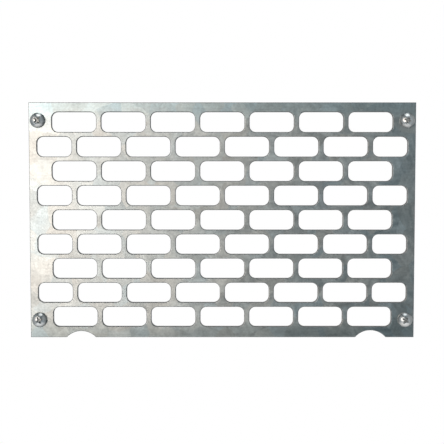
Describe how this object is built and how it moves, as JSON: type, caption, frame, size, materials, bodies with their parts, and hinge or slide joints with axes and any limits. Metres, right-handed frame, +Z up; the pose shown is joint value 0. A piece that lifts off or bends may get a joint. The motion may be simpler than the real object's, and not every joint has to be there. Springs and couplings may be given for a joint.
{
  "type": "queen excluder",
  "caption": "Flat punched sheet-metal queen excluder: offset rows of rounded slots that worker bees pass and a queen can't, screwed upright over a hive opening.",
  "frame": {"origin": "centre of the four screws' rectangle, on the plate's back face, where it meets the wood", "axes": "+X to the right along the plate's length, seen from the front; +Z up; +Y into the wood, along the screws' shanks, so the front and the screw heads face -Y"},
  "size_m": [0.0822, 0.0092, 0.0502],
  "materials": {
    "galvanised_sheet": "hot-dip galvanised sheet with a mottled spangle, fine rolling grain and rolled punch edges",
    "zinc_plated_screw": "bright zinc-plated steel, semi-gloss"
  },
  "bodies": {
    "plate": {"excluder_plate": "galvanised_sheet"},
    "screw_top_left": {"screw_top_left": "zinc_plated_screw"},
    "screw_top_right": {"screw_top_right": "zinc_plated_screw"},
    "screw_bottom_left": {"screw_bottom_left": "zinc_plated_screw"},
    "screw_bottom_right": {"screw_bottom_right": "zinc_plated_screw"}
  },
  "joints": [
    {"name": "screw_top_left_travel", "type": "slide", "parent": "plate", "child": "screw_top_left", "axis": [0, -1, 0], "range_m": [0, 0.009]},
    {"name": "screw_top_right_travel", "type": "slide", "parent": "plate", "child": "screw_top_right", "axis": [0, -1, 0], "range_m": [0, 0.009]},
    {"name": "screw_bottom_left_travel", "type": "slide", "parent": "plate", "child": "screw_bottom_left", "axis": [0, -1, 0], "range_m": [0, 0.009]},
    {"name": "screw_bottom_right_travel", "type": "slide", "parent": "plate", "child": "screw_bottom_right", "axis": [0, -1, 0], "range_m": [0, 0.009]}
  ]
}
